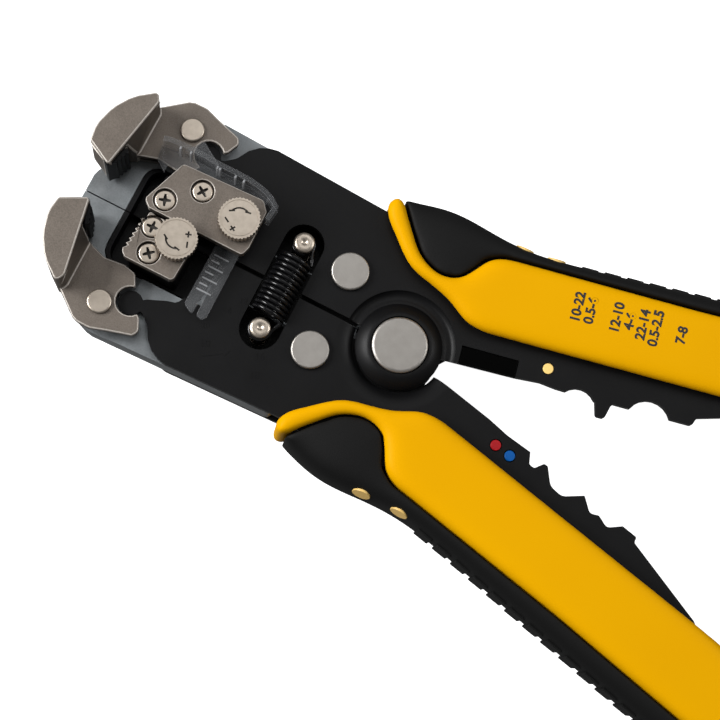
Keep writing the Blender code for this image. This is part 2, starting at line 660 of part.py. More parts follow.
def build():
    clear_scene()
    tool_frame = bpy.data.objects.new("tool_frame", None)
    tool_frame.location.x = PIVOT_X
    bpy.context.scene.collection.objects.link(tool_frame)
    main_rivet()
    tension_spring()
    for side in (UPPER, LOWER):
        frame_casting(side)
        grip_pin(side)
        arm_plate(side, front=True)
        arm_plate(side, front=False)
        arm_core(side)
        arm_rivet(side)
        spring_post(side)
        handle_shell(side)
        handle_pad(side)
        pad_inserts(side)
        grip_jaw(side)
        grip_insert(side)
        carrier_block(side)
        blade_plate(side)
        blade_screw(side, 0)
        blade_screw(side, 1)
        tension_knob(side)
    cutter_blade()
    crimp_mark("yellow_crimp_mark", (31.9, 3.8), YELLOW, UPPER)
    crimp_mark("red_crimp_mark", (28.9, 3.6), RED, LOWER)
    crimp_mark("blue_crimp_mark", (32.6, 3.5), BLUE, LOWER)
    wire_stop()


build()
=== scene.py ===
"""Self-adjusting wire stripper lying open on a pale floor, seen from above. Metres throughout."""

import math

import bpy
from mathutils import Matrix, Vector
from mathutils.kdtree import KDTree


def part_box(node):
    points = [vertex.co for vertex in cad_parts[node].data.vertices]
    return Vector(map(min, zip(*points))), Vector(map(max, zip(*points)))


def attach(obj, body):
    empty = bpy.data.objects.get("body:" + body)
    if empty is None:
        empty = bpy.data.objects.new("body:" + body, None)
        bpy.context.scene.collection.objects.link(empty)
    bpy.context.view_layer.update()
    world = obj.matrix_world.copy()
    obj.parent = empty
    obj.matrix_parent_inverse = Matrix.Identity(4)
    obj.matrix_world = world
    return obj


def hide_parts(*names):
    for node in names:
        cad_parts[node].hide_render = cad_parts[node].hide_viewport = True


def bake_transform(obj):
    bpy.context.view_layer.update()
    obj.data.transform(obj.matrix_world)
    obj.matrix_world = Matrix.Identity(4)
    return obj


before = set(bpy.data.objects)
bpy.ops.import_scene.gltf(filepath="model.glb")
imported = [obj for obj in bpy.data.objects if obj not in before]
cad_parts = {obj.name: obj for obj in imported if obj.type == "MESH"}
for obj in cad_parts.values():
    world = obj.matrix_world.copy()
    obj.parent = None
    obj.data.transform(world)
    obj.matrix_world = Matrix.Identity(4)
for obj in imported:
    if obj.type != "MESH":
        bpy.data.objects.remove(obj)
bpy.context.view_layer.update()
bpy.ops.object.select_all(action="DESELECT")


# ---------------------------------------------------------------------------------------------- Studio
# The tool lies on a shadowless white floor between two softboxes, the stronger one at its jaws, with a
# weak one overhead. The camera looks down on the head, tilted towards the lower handle.

MM = 0.001
rivet_low, rivet_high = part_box("main_pivot_rivet")
PIVOT = Vector(((rivet_low[0] + rivet_high[0]) / 2, (rivet_low[1] + rivet_high[1]) / 2, 0))


def in_head(x, y, z=0.0):
    """A place in millimetres from the main pivot, with z from the floor."""
    return PIVOT + Vector((x, y, z)) * MM


aim = in_head(-6.07, -6.47, 15.4)
eye = in_head(-6.66, -78.26, 387.73)
sight = (aim - eye).normalized()
UP_ANGLE = math.radians(116.56)
picture_up = Vector((math.cos(UP_ANGLE), math.sin(UP_ANGLE), 0))
picture_right = sight.cross(picture_up).normalized()
camera_data = bpy.data.cameras.new("camera")
camera_data.lens = 90
camera_data.sensor_width = 36
camera = bpy.data.objects.new("camera", camera_data)
camera.matrix_world = Matrix.Translation(eye) @ Matrix(
    (picture_right, picture_right.cross(sight), -sight)
).transposed().to_4x4()
bpy.context.scene.collection.objects.link(camera)
bpy.context.scene.camera = camera

bpy.ops.mesh.primitive_plane_add(size=6, location=(0, 0, -0.0004))
floor = bpy.context.object
floor.name = "floor"
floor.visible_diffuse = False
floor.visible_glossy = False


def softbox(name, place, target, size, power):
    data = bpy.data.lights.new(name, "AREA")
    data.shape = "RECTANGLE"
    data.size, data.size_y = size
    data.energy = power
    lamp = bpy.data.objects.new(name, data)
    lamp.location = place
    lamp.rotation_euler = (Vector(target) - Vector(place)).to_track_quat("-Z", "Y").to_euler()
    bpy.context.scene.collection.objects.link(lamp)


softbox("jaw_side", (-0.78, -0.2, 0.58), (-0.05, 0, 0.01), (0.5, 0.4), 14)
softbox("handle_side", (0.62, 0.42, 0.6), (0, 0, 0.01), (0.4, 0.4), 2.8)
softbox("overhead", (-0.1, 0.5, 1.0), (-0.02, 0, 0), (0.7, 0.7), 2)

world = bpy.data.worlds.new("studio")
world.use_nodes = True
world.node_tree.nodes["Background"].inputs["Color"].default_value = (1, 1, 1, 1)
world.node_tree.nodes["Background"].inputs["Strength"].default_value = 0.2
bpy.context.scene.world = world
bpy.context.scene.view_settings.view_transform = "Standard"


# -------------------------------------------------------------------------------------- Frame castings
# Two zinc die castings that meet in a seam at the nose, with a grey, finely grained skin. Their edges are
# eased as a mould leaves them. The recess for the blades is lined with a black tray, half in each casting.


class Amount:
    """One number that varies over a surface, with arithmetic that adds the Math nodes."""

    def __init__(self, finish, socket):
        self.finish = finish
        self.socket = socket

    def sum_up(self, operation, first, second):
        node = self.finish.node("ShaderNodeMath", {"operation": operation}, {0: first, 1: second})
        return Amount(self.finish, node.outputs[0])

    def __add__(self, other):
        return self.sum_up("ADD", self, other)

    def __radd__(self, other):
        return self.sum_up("ADD", other, self)

    def __mul__(self, other):
        return self.sum_up("MULTIPLY", self, other)

    def __rmul__(self, other):
        return self.sum_up("MULTIPLY", other, self)


class Finish:
    """A Principled material whose constants sit on the shader's own sockets."""

    def __init__(self, name, colour, roughness, metallic=0.0, **constants):
        self.material = bpy.data.materials.new(name)
        self.material.use_nodes = True
        self.tree = self.material.node_tree
        self.shader = self.tree.nodes["Principled BSDF"]
        self.place = self.node("ShaderNodeTexCoord").outputs["Object"]
        self.constant("Base Color", (*colour, 1))
        self.constant("Roughness", roughness)
        self.constant("Metallic", metallic)
        for socket, value in constants.items():
            self.constant(socket.replace("_", " ").title().replace("Ior", "IOR"), value)

    def constant(self, socket, value):
        self.shader.inputs[socket].default_value = value

    def node(self, kind, settings=None, sockets=None):
        made = self.tree.nodes.new(kind)
        for name, value in (settings or {}).items():
            setattr(made, name, value)
        for key, value in (sockets or {}).items():
            value = value.socket if isinstance(value, Amount) else value
            if isinstance(value, bpy.types.NodeSocket):
                self.tree.links.new(value, made.inputs[key])
            else:
                made.inputs[key].default_value = value
        return made

    def noise(self, size, detail=2.0, stretch=(1, 1, 1), roughness=0.5):
        """Cloudy noise whose blots are about the given size across."""
        sockets = {"Vector": self.place, "Scale": tuple(1 / (size * s) for s in stretch)}
        scaled = self.node("ShaderNodeMapping", {"vector_type": "POINT"}, sockets)
        sockets = {"Vector": scaled.outputs[0], "Scale": 1.0, "Detail": detail, "Roughness": roughness}
        return Amount(self, self.node("ShaderNodeTexNoise", None, sockets).outputs[0])

    def blend(self, share, first, second):
        """A colour that goes from the first to the second as share goes from 0 to 1."""
        sockets = {0: share, 6: (*first, 1), 7: (*second, 1)}
        made = self.node("ShaderNodeMix", {"data_type": "RGBA"}, sockets)
        return made.outputs[2]

    def feed(self, socket, value):
        value = value.socket if isinstance(value, Amount) else value
        self.tree.links.new(value, self.shader.inputs[socket])

    def bump(self, height, depth):
        """Relief of the given depth, in metres, where the height goes from 0 to 1."""
        sockets = {"Height": height, "Distance": depth, "Strength": 1.0}
        self.feed("Normal", self.node("ShaderNodeBump", None, sockets).outputs[0])


zinc = Finish("cast_zinc", (0.15, 0.165, 0.18), 0.42, 0.85)
zinc_blots = zinc.noise(4 * MM, 3)
zinc_grain = zinc.noise(0.35 * MM, 3)
zinc_shade = zinc_blots * 0.6 + zinc_grain * 0.4
zinc.feed("Base Color", zinc.blend(zinc_shade, (0.10, 0.11, 0.118), (0.33, 0.35, 0.36)))
zinc.feed("Roughness", 0.30 + zinc_grain * 0.22 + zinc_blots * 0.08)
zinc.bump(zinc_grain, 0.03 * MM)

paint = Finish("black_paint", (0.006, 0.006, 0.0065), 0.5, 0.0, specular_ior_level=0.15)
paint_grain = paint.noise(0.22 * MM, 2)
paint_cloud = paint.noise(9 * MM, 2)
paint.feed("Base Color", paint.blend(paint_cloud, (0.0022, 0.0022, 0.0024), (0.0045, 0.0045, 0.0049)))
paint.feed("Roughness", 0.33 + paint_cloud * 0.08 + paint_grain * 0.12)
paint.bump(paint_grain, 0.014 * MM)

floor_finish = Finish("white_floor", (0.5, 0.5, 0.5), 0.8)
floor_finish.constant("Emission Color", (1, 1, 1, 1))
floor_finish.constant("Emission Strength", 1.0)
floor.data.materials.append(floor_finish.material)


def only(piece):
    bpy.ops.object.select_all(action="DESELECT")
    piece.select_set(True)
    bpy.context.view_layer.objects.active = piece


def apply_modifier(piece, kind, **settings):
    only(piece)
    modifier = piece.modifiers.new(kind.lower(), kind)
    for name, value in settings.items():
        setattr(modifier, name, value)
    bpy.ops.object.modifier_apply(modifier=modifier.name)


def smooth_by(piece, degrees):
    only(piece)
    bpy.ops.object.shade_smooth_by_angle(angle=math.radians(degrees))


def finish_with(piece, *finishes):
    piece.data.materials.clear()
    for finish in finishes:
        piece.data.materials.append(finish.material)


def solid_copy(node, name):
    """A copy of a CAD solid as one welded mesh with its flat faces whole."""
    source = bpy.data.objects[node]
    piece = bpy.data.objects.new(name, source.data.copy())
    bpy.context.scene.collection.objects.link(piece)
    only(piece)
    bpy.ops.object.mode_set(mode="EDIT")
    bpy.ops.mesh.select_all(action="SELECT")
    bpy.ops.mesh.remove_doubles(threshold=0.001 * MM)
    bpy.ops.mesh.dissolve_limited(angle_limit=math.radians(1))
    bpy.ops.object.mode_set(mode="OBJECT")
    return piece


def eased(node, body, finish, width, segments=3, crease=32, edge_finish=None):
    """The CAD solid with its sharp edges rounded, riding in the solid's place."""
    piece = solid_copy(node, node + "_eased")
    finish_with(piece, finish, edge_finish or finish)
    apply_modifier(piece, "BEVEL", width=width * MM, segments=segments, limit_method="ANGLE",
                   angle_limit=math.radians(crease), miter_outer="MITER_ARC", material=1,
                   use_clamp_overlap=not edge_finish)
    smooth_by(piece, 40)
    apply_modifier(piece, "WEIGHTED_NORMAL", keep_sharp=True, weight=80)
    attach(piece, body)
    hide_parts(node)
    return piece


SIDES = {"upper": 1, "lower": -1}
for side in SIDES:
    eased(side + "_frame_casting", "frame", zinc, 0.35)


def outline_slab(name, outline, bottom, top):
    """A flat piece with an upright wall all round, raised from one polygon. Millimetres in the head."""
    bpy.ops.object.select_all(action="DESELECT")
    bpy.ops.mesh.primitive_circle_add(vertices=len(outline), radius=MM, fill_type="NGON")
    piece = bpy.context.object
    piece.name = name
    for corner, (x, y) in zip(piece.data.vertices, outline):
        corner.co = in_head(x, y, bottom)
    bpy.ops.object.mode_set(mode="EDIT")
    bpy.ops.mesh.select_all(action="SELECT")
    bpy.ops.mesh.extrude_region_move(TRANSFORM_OT_translate={"value": (0, 0, (top - bottom) * MM)})
    bpy.ops.mesh.select_all(action="SELECT")
    bpy.ops.mesh.normals_make_consistent(inside=False)
    bpy.ops.object.mode_set(mode="OBJECT")
    return piece


def carve(piece, cutter, operation="DIFFERENCE", finish=None):
    """The piece less the cutter, or with it. A finish given here goes on the faces the cutter leaves."""
    if finish:
        finish_with(cutter, finish)
    apply_modifier(piece, "BOOLEAN", operation=operation, object=cutter, solver="EXACT",
                   material_mode="TRANSFER")
    bpy.data.objects.remove(cutter, do_unlink=True)


def ease(piece, width, segments=3, crease=32):
    apply_modifier(piece, "BEVEL", width=width * MM, segments=segments, limit_method="ANGLE",
                   angle_limit=math.radians(crease))
    smooth_by(piece, 40)
    apply_modifier(piece, "WEIGHTED_NORMAL", keep_sharp=True, weight=80)


def arc_points(centre, radius, start, end, steps):
    found = []
    for step in range(steps + 1):
        angle = math.radians(start + (end - start) * step / steps)
        found.append((centre[0] + radius * math.cos(angle), centre[1] + radius * math.sin(angle)))
    return found


FRONT_CORNER, REAR_CORNER, SEAM_GAP = 3.4, 1.8, 0.05
for side, way in SIDES.items():
    for part, front, rear, reach, bottom, top in (("rim", -65.1, -41.9, 11.7, 8.02, 12.15),
                                                  ("well", -63.9, -42.2, 11.45, 8.2, 13.0)):
        front_arc = arc_points((front + FRONT_CORNER, reach - FRONT_CORNER), FRONT_CORNER, 180, 90, 8)
        rear_arc = arc_points((rear - REAR_CORNER, reach - REAR_CORNER), REAR_CORNER, 90, 0, 5)
        outline = [(front, SEAM_GAP), *front_arc, *rear_arc, (rear, SEAM_GAP)]
        shape = outline_slab(side + "_recess_" + part, [(x, y * way) for x, y in outline], bottom, top)
        if part == "rim":
            tray = shape
    carve(tray, shape)
    ease(tray, 0.25)
    tray.name = side + "_recess_tray"
    tongue = [(-41.7, 0.2), (-10.0, 0.2), (-10.0, 5.9), (-41.7, 5.9)]
    cover = outline_slab(side + "_tongue_cover", [(x, y * way) for x, y in tongue], 11.55, 11.85)
    for liner in (tray, cover):
        finish_with(liner, paint)
        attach(liner, "frame")


# ------------------------------------------------------------------------------------------------ Arms
# Pressed steel plates in the same satin black paint. They stand in pairs either side of the castings, with
# a filler between them behind the pivot. The upper plate is dished round the pivot and rises in a collar
# beside the rivet; the lower plate's edge is drawn down towards that collar.

def lathed(name, centre, profile, steps=64):
    """A round piece spun about an upright axis from its half section, in millimetres (radius, height)."""
    bpy.ops.object.select_all(action="DESELECT")
    bpy.ops.mesh.primitive_circle_add(vertices=len(profile), radius=MM)
    piece = bpy.context.object
    piece.name = name
    for corner, (radius, height) in zip(piece.data.vertices, profile):
        corner.co = in_head(centre[0] + radius, centre[1], height)
    bpy.ops.object.mode_set(mode="EDIT")
    bpy.ops.mesh.select_all(action="SELECT")
    bpy.ops.mesh.spin(steps=steps, angle=2 * math.pi, center=in_head(*centre), axis=(0, 0, 1))
    bpy.ops.mesh.select_all(action="SELECT")
    bpy.ops.mesh.remove_doubles(threshold=0.0005 * MM)
    bpy.ops.mesh.normals_make_consistent(inside=False)
    bpy.ops.object.mode_set(mode="OBJECT")
    return piece


for side in SIDES:
    arm = side + "_arm"
    eased(side + "_back_plate", arm, paint, 0.3)
    eased(side + "_arm_core", arm, paint, 0.2)

DISH = [(9.2, 14.8), (10.0, 14.3), (11.0, 14.2), (11.6, 14.5), (12.1, 15.05), (12.1, 15.6), (9.2, 15.6)]
SHOULDER = [(9.4, 12.9), (9.8, 13.7), (10.6, 14.5), (11.6, 15.0), (12.8, 15.3), (14.0, 15.42), (14.0, 15.8),
            (9.4, 15.8)]
for side, outer in (("upper", DISH), ("lower", SHOULDER)):
    plate = solid_copy(side + "_front_plate", side + "_front_plate_pressed")
    if side == "upper":
        carve(plate, lathed("collar_seat", (0, 0), [(6.0, 14.72), (9.45, 14.72), (9.45, 18), (6.0, 18)]))
    carve(plate, lathed("hub_edge", (0, 0), outer, 96))
    way = SIDES[side]
    seam = [(-42.0, -0.4), (-9.0, -0.4), (-9.0, 0.5), (-42.0, 0.5)]
    carve(plate, outline_slab("seam", [(x, y * way) for x, y in seam], 13.0, 16.0))
    lip = [(-46.4, 13.7), (-45.5, 12.9), (-44.9, 11.6), (-40.2, 11.6), (-40.2, 13.6), (-43.0, 14.6)]
    carve(plate, outline_slab("lip", [(x, y * way) for x, y in lip], 13.65, 15.38), "UNION")
    ease(plate, 0.22, 2, 40)
    finish_with(plate, paint)
    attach(plate, side + "_arm")
    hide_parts(side + "_front_plate")

COLLAR = [(6.35, 14.75), (6.1, 16.5), (6.25, 16.8), (6.6, 16.8), (7.2, 16.55), (7.9, 16.1), (8.5, 15.6),
          (9.0, 15.1), (9.28, 14.75)]
collar = lathed("pivot_collar", (0, 0), COLLAR, 96)
smooth_by(collar, 50)
finish_with(collar, paint)
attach(collar, "upper_arm")


# ------------------------------------------------------------------------------------ Rivets and pins
# Turned steel. The faces of the large rivets are brushed, and their rims are broken with a small chamfer.

rivet = Finish("rivet_steel", (0.46, 0.45, 0.43), 0.34, 1.0)
rivet_scratch = rivet.noise(0.12 * MM, 3, (14, 1, 14))
rivet_cloud = rivet.noise(2.2 * MM, 3)
rivet.feed("Base Color", rivet.blend(rivet_cloud, (0.31, 0.292, 0.27), (0.40, 0.38, 0.355)))
rivet.feed("Roughness", 0.34 + rivet_scratch * 0.18 + rivet_cloud * 0.08)
rivet.bump(rivet_scratch, 0.003 * MM)

nickel = Finish("nickel", (0.55, 0.52, 0.47), 0.3, 1.0)
nickel_cloud = nickel.noise(1.2 * MM, 3)
nickel_grain = nickel.noise(0.15 * MM, 3)
nickel.feed("Base Color", nickel.blend(nickel_cloud, (0.40, 0.345, 0.285), (0.60, 0.53, 0.45)))
nickel.feed("Roughness", 0.26 + nickel_grain * 0.2)
nickel.bump(nickel_grain, 0.006 * MM)

eased("main_pivot_rivet", "frame", rivet, 0.2, 3, 50)
for side in SIDES:
    eased(side + "_grip_pin", "frame", nickel, 0.15, 3, 50)
    eased(side + "_arm_rivet", side + "_arm", rivet, 0.16, 3, 50)


def middle_of(node):
    """The middle of a CAD node's box, as a place in the head in millimetres."""
    low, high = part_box(node)
    return tuple((low[axis] + high[axis]) / 2 / MM - PIVOT[axis] / MM for axis in range(2))


# The spring posts end in a round head with a centre drilled in it.
POST = [(0, 3.7), (2.0, 3.7), (2.2, 3.9), (2.2, 4.3), (1.6, 4.4), (1.6, 16.2), (2.1, 16.2), (2.25, 16.4),
        (2.25, 16.95), (2.05, 17.25), (1.6, 17.4), (0.75, 17.4), (0.5, 17.25), (0, 16.95)]
for side in SIDES:
    post = lathed(side + "_spring_post_turned", middle_of(side + "_spring_post"), POST)
    smooth_by(post, 40)
    finish_with(post, nickel)
    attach(post, side + "_arm")
    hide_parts(side + "_spring_post")


# ---------------------------------------------------------------------------------------------- Spring
# A close coil of black spring wire between the two posts. Each end leaves the coil, comes to the middle and
# closes in a loop round its post. Each half reaches out to the post on its own arm.

wire_finish = Finish("spring_wire", (0.003, 0.003, 0.0035), 0.2, 0.0, specular_ior_level=0.3)
wire_spots = wire_finish.noise(0.6 * MM, 2)
wire_finish.feed("Roughness", 0.14 + wire_spots * 0.16)

SPRING_RADIUS, WIRE_RADIUS, COIL_END, SPRING_HEIGHT = 3.35, 0.5, 6.9, 15.8
TURNS, STEPS_PER_TURN = 6, 24
LOOP_RADIUS, LOOP_DROP, LOOP_ANGLE = 2.2, 0.5, 300
post_x, post_y = middle_of("upper_spring_post")
for side, way in SIDES.items():
    route = []
    steps = TURNS * STEPS_PER_TURN
    for step in range(steps + 1):
        angle = 2 * math.pi * step / STEPS_PER_TURN * way
        y = COIL_END * step / steps
        route.append((post_x + SPRING_RADIUS * math.cos(angle), y * way,
                      SPRING_HEIGHT + SPRING_RADIUS * math.sin(angle)))
    for share in (0.25, 0.5, 0.75):
        ease_in = share * share * (3 - 2 * share)
        route.append((post_x + SPRING_RADIUS - (SPRING_RADIUS - LOOP_RADIUS) * ease_in,
                      (COIL_END + (post_y - COIL_END) * share) * way, SPRING_HEIGHT - LOOP_DROP * ease_in))
    for step in range(17):
        angle = math.radians(LOOP_ANGLE * step / 16)
        route.append((post_x + LOOP_RADIUS * math.cos(angle),
                      (post_y + LOOP_RADIUS * math.sin(angle)) * way, SPRING_HEIGHT - LOOP_DROP))
    bpy.ops.curve.primitive_nurbs_path_add()
    coil = bpy.context.object
    coil.name = side + "_spring_half"
    coil.data.splines.clear()
    wire = coil.data.splines.new("POLY")
    wire.points.add(len(route) - 1)
    for point, place in zip(wire.points, route):
        point.co = (*in_head(*place), 1)
    coil.data.dimensions = "3D"
    coil.data.bevel_depth = WIRE_RADIUS * MM
    coil.data.bevel_resolution = 4
    coil.data.use_fill_caps = True
    only(coil)
    bpy.ops.object.convert(target="MESH")
    coil = bpy.context.object
    smooth_by(coil, 60)
    finish_with(coil, wire_finish)
    in_head(post_x, (post_y - 1.6) * way, SPRING_HEIGHT)
    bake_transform(coil)
    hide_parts("tension_spring")


# ------------------------------------------------------------------------------------------ Grip jaws
# Sintered steel with a warm grey, sandy skin, rubbed bright on its edges. A serrated black piece is let
# into the corner that bites the wire.

sintered = Finish("sintered_steel", (0.2, 0.18, 0.16), 0.5, 0.85)
sinter_grain = sintered.noise(0.28 * MM, 3, roughness=0.7)
sinter_cloud = sintered.noise(5 * MM, 2)
sintered.feed("Base Color", sintered.blend(
    sinter_grain * 0.75 + sinter_cloud * 0.25, (0.055, 0.046, 0.038), (0.29, 0.25, 0.215)))
sintered.feed("Roughness", 0.36 + sinter_grain * 0.24)
sintered.bump(sinter_grain, 0.03 * MM)

worn = Finish("worn_edge", (0.42, 0.38, 0.34), 0.4, 0.25)
worn_grain = worn.noise(0.3 * MM, 3)
worn.feed("Base Color", worn.blend(worn_grain, (0.22, 0.20, 0.175), (0.62, 0.57, 0.52)))
worn.feed("Roughness", 0.3 + worn_grain * 0.25)

for side in SIDES:
    grip = side + "_grip"
    eased(side + "_grip_jaw", grip, sintered, 0.3, 3, 32, worn)
    eased(side + "_grip_insert", grip, paint, 0.1, 2)


# ------------------------------------------------------------------------- Blade carriers and knobs
# Each carrier is a black block under a sintered plate, held by two nickel screws, with a knurled knob that
# sets how hard the blades close.

# Painted shade: a near-black, speckled finish for the faces cut for the screws' cross slots and the knobs'
# engravings, standing in for the shade inside those recesses.
recess_shade = Finish("recess_shade", (0.012, 0.010, 0.008), 0.6)
recess_shade_speckle = recess_shade.noise(0.3 * MM, 2)
recess_shade.feed("Base Color", recess_shade.blend(recess_shade_speckle, (0.006, 0.005, 0.004), (0.05, 0.042, 0.034)))

CROSS = ((1.3, 0.22), (0.5, 0.34), (-0.5, 0.34), (-1.3, 0.22), (-1.3, -0.22), (-0.5, -0.34), (0.5, -0.34),
         (1.3, -0.22))
screw_turns = {"upper_front": 20, "upper_rear": 57, "lower_front": 94, "lower_rear": 131}
for side in SIDES:
    carrier = side + "_carrier"
    eased(side + "_carrier_block", carrier, paint, 0.2)
    eased(side + "_blade_plate", carrier, sintered, 0.16, 2, 32, worn)
    for place in ("front", "rear"):
        node = f"{side}_{place}_screw"
        centre = middle_of(node)
        screw = solid_copy(node, node + "_cut")
        finish_with(screw, nickel)
        for quarter in (0, 90):
            across = math.radians(screw_turns[f"{side}_{place}"] + quarter)
            ends = []
            for along, beside in CROSS:
                ends.append((centre[0] + along * math.cos(across) - beside * math.sin(across),
                             centre[1] + along * math.sin(across) + beside * math.cos(across)))
            # The cut faces of the cross slot take the painted shade.
            carve(screw, outline_slab("cross_slot", ends, 20.3, 21.6), finish=recess_shade)
        ease(screw, 0.08, 2, 40)
        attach(screw, carrier)
        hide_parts(node)


def band(centre, radius, width, start, end):
    """A curved stroke for an engraving, as one outline."""
    outer = arc_points(centre, radius + width / 2, start, end, 10)
    inner = arc_points(centre, radius - width / 2, end, start, 10)
    return outer + inner


def stroke(centre, angle, length, width):
    """A straight stroke for an engraving, turned about its middle."""
    along = (math.cos(math.radians(angle)), math.sin(math.radians(angle)))
    across = (-along[1], along[0])
    return [(centre[0] + along[0] * a * length / 2 + across[0] * b * width / 2,
             centre[1] + along[1] * a * length / 2 + across[1] * b * width / 2)
            for a, b in ((1, 1), (-1, 1), (-1, -1), (1, -1))]


def on_circle(centre, radius, angle):
    return arc_points(centre, radius, angle, angle, 1)[0]


MARK_LENGTH, MARK_WIDTH = 1.3, 0.36
ARROW_RADIUS, ARROW_SWEEP, SIGN_RADIUS = 2.2, 100, 2.6
for side, base in (("upper", 60), ("lower", 200)):
    node = side + "_tension_knob"
    centre = middle_of(node)
    knob = solid_copy(node, node + "_engraved")
    finish_with(knob, nickel)
    carve(knob, lathed("face_groove", centre, [(3.72, 24.25), (3.95, 24.25), (3.95, 24.8), (3.72, 24.8)], 48))
    plus = on_circle(centre, SIGN_RADIUS, base + 205)
    minus = on_circle(centre, SIGN_RADIUS, base + 155)
    tail = on_circle(centre, ARROW_RADIUS, base)
    point = on_circle(centre, ARROW_RADIUS, base + ARROW_SWEEP)
    marks = [band(centre, ARROW_RADIUS, MARK_WIDTH, base, base + ARROW_SWEEP)]
    for middle, turn in ((plus, 0), (plus, 90), (minus, 90), (tail, 130), (point, 150)):
        marks.append(stroke(middle, base + turn, MARK_LENGTH, MARK_WIDTH))
    for mark in marks:
        # The cut faces of the engraved marks take the painted shade.
        carve(knob, outline_slab("mark", mark, 24.0, 24.8), finish=recess_shade)
    ease(knob, 0.06, 1, 25)
    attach(knob, side + "_knob")
    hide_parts(node)


# ------------------------------------------------------------------------------------------ Wire stop
# One clear moulding. Ribs stand up the thumb guard, and the strip carries fine graduations. Its underside
# is cut back at the rear, where it comes close to the spring.

clear = Finish("clear_plastic", (0.20, 0.21, 0.22), 0.12, 0.0, alpha=0.22)
clear_cloud = clear.noise(3 * MM, 2)
clear.feed("Base Color", clear.blend(clear_cloud, (0.09, 0.094, 0.10), (0.20, 0.207, 0.215)))
# Painted highlight: a lighter, less clear finish for the moulding's rounded edges, its ribs and its
# graduations, standing in for the light they catch.
clear_painted_highlight = Finish("clear_plastic_painted_highlight", (0.5, 0.52, 0.54), 0.3, 0.0, alpha=0.7)
highlight_cloud = clear_painted_highlight.noise(2 * MM, 2)
clear_painted_highlight.feed("Base Color", clear_painted_highlight.blend(highlight_cloud, (0.16, 0.165, 0.17), (0.42, 0.43, 0.45)))

stop = solid_copy("wire_stop", "wire_stop_moulded")
finish_with(stop, clear, clear_painted_highlight)
spring_room = [(-38.75, -16), (-34, -16), (-34, 16), (-38.75, 16)]
carve(stop, outline_slab("spring_room", spring_room, 15, 19.8))
# The ribs take the painted highlight.
for x, y in ((-59.3, 14.3), (-56.9, 14.35), (-50.6, 14.1), (-50.0, 14.1), (-46.4, 14.1), (-44.4, 14.0)):
    rib = [(x - 0.2, y), (x + 0.2, y), (x + 0.2, y + 1.0), (x - 0.2, y + 1.0)]
    carve(stop, outline_slab("rib", rib, 18.5, 24.6), "UNION", clear_painted_highlight)
# The graduations take the painted highlight.
STRIP_EDGE, FIRST_BAR, BAR_PITCH, BAR_WIDTH = -43.4, -9.2, 1.35, 0.3
for step in range(7):
    y = FIRST_BAR + BAR_PITCH * step
    bar_end = STRIP_EDGE + (1.9 if step % 2 else 3.4)
    bar = [(STRIP_EDGE, y), (bar_end, y), (bar_end, y + BAR_WIDTH), (STRIP_EDGE, y + BAR_WIDTH)]
    carve(stop, outline_slab("graduation", bar, 17.5, 17.72), "UNION", clear_painted_highlight)
# The rounded edges take the painted highlight, the second finish.
apply_modifier(stop, "BEVEL", width=0.16 * MM, segments=2, limit_method="ANGLE", angle_limit=math.radians(32),
               material=1)
smooth_by(stop, 40)
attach(stop, "wire_stop")
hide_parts("wire_stop")


# --------------------------------------------------------------------------------------------- Handles
# A hard yellow shell over the tang, with a soft black pad along its outer edge and in the thumb's bay.
# Both are thick mouldings with round edges.

yellow = Finish("yellow_plastic", (0.65, 0.32, 0.0), 0.42, 0.0, specular_ior_level=0.03)
yellow_grain = yellow.noise(0.3 * MM, 2)
yellow_cloud = yellow.noise(25 * MM, 1)
yellow.feed("Base Color", yellow.blend(yellow_cloud, (0.64, 0.305, 0.0), (0.67, 0.335, 0.0)))
yellow.feed("Roughness", 0.38 + yellow_grain * 0.15)
yellow.bump(yellow_grain, 0.008 * MM)

soft_black = Finish("soft_black", (0.005, 0.005, 0.005), 0.7, 0.0, specular_ior_level=0.13)
soft_grain = soft_black.noise(0.3 * MM, 3)
soft_black.feed("Roughness", 0.55 + soft_grain * 0.2)
soft_black.bump(soft_grain, 0.025 * MM)

insert_finish = Finish("insert_yellow", (0.62, 0.40, 0.10), 0.45, 0.0)
insert_grain = insert_finish.noise(0.4 * MM, 2)
insert_finish.feed("Base Color", insert_finish.blend(insert_grain, (0.60, 0.38, 0.10), (0.78, 0.52, 0.16)))


def moulded(node, finish, rounds, neighbour=None):
    """The CAD solid softened all over, as thick plastic comes out of its mould. Next to its neighbour, whose
    place it shares, it keeps its shape."""
    piece = solid_copy(node, node + "_moulded")
    apply_modifier(piece, "REMESH", mode="VOXEL", voxel_size=0.55 * MM)
    group = ""
    if neighbour:
        tree = KDTree(len(neighbour.data.vertices))
        for index, corner in enumerate(neighbour.data.vertices):
            tree.insert(corner.co, index)
        tree.balance()
        group = piece.vertex_groups.new(name="free").name
        for corner in piece.data.vertices:
            room = tree.find(corner.co)[2]
            piece.vertex_groups[group].add([corner.index], min(1, max(0, room / (3 * MM) - 0.25)), "REPLACE")
    apply_modifier(piece, "SMOOTH", factor=0.5, iterations=24)
    apply_modifier(piece, "SMOOTH", factor=0.5, iterations=rounds, vertex_group=group)
    piece.vertex_groups.clear()
    only(piece)
    bpy.ops.object.shade_smooth()
    finish_with(piece, finish)
    return piece


HANDLE_TURN = 12


def in_handle(u, v, way, z=0.0):
    """A place in a handle: u along it from the pivot and v outwards from it, in millimetres."""
    turn = math.radians(HANDLE_TURN)
    return in_head(u * math.cos(turn) - v * math.sin(turn), (u * math.sin(turn) + v * math.cos(turn)) * way, z)


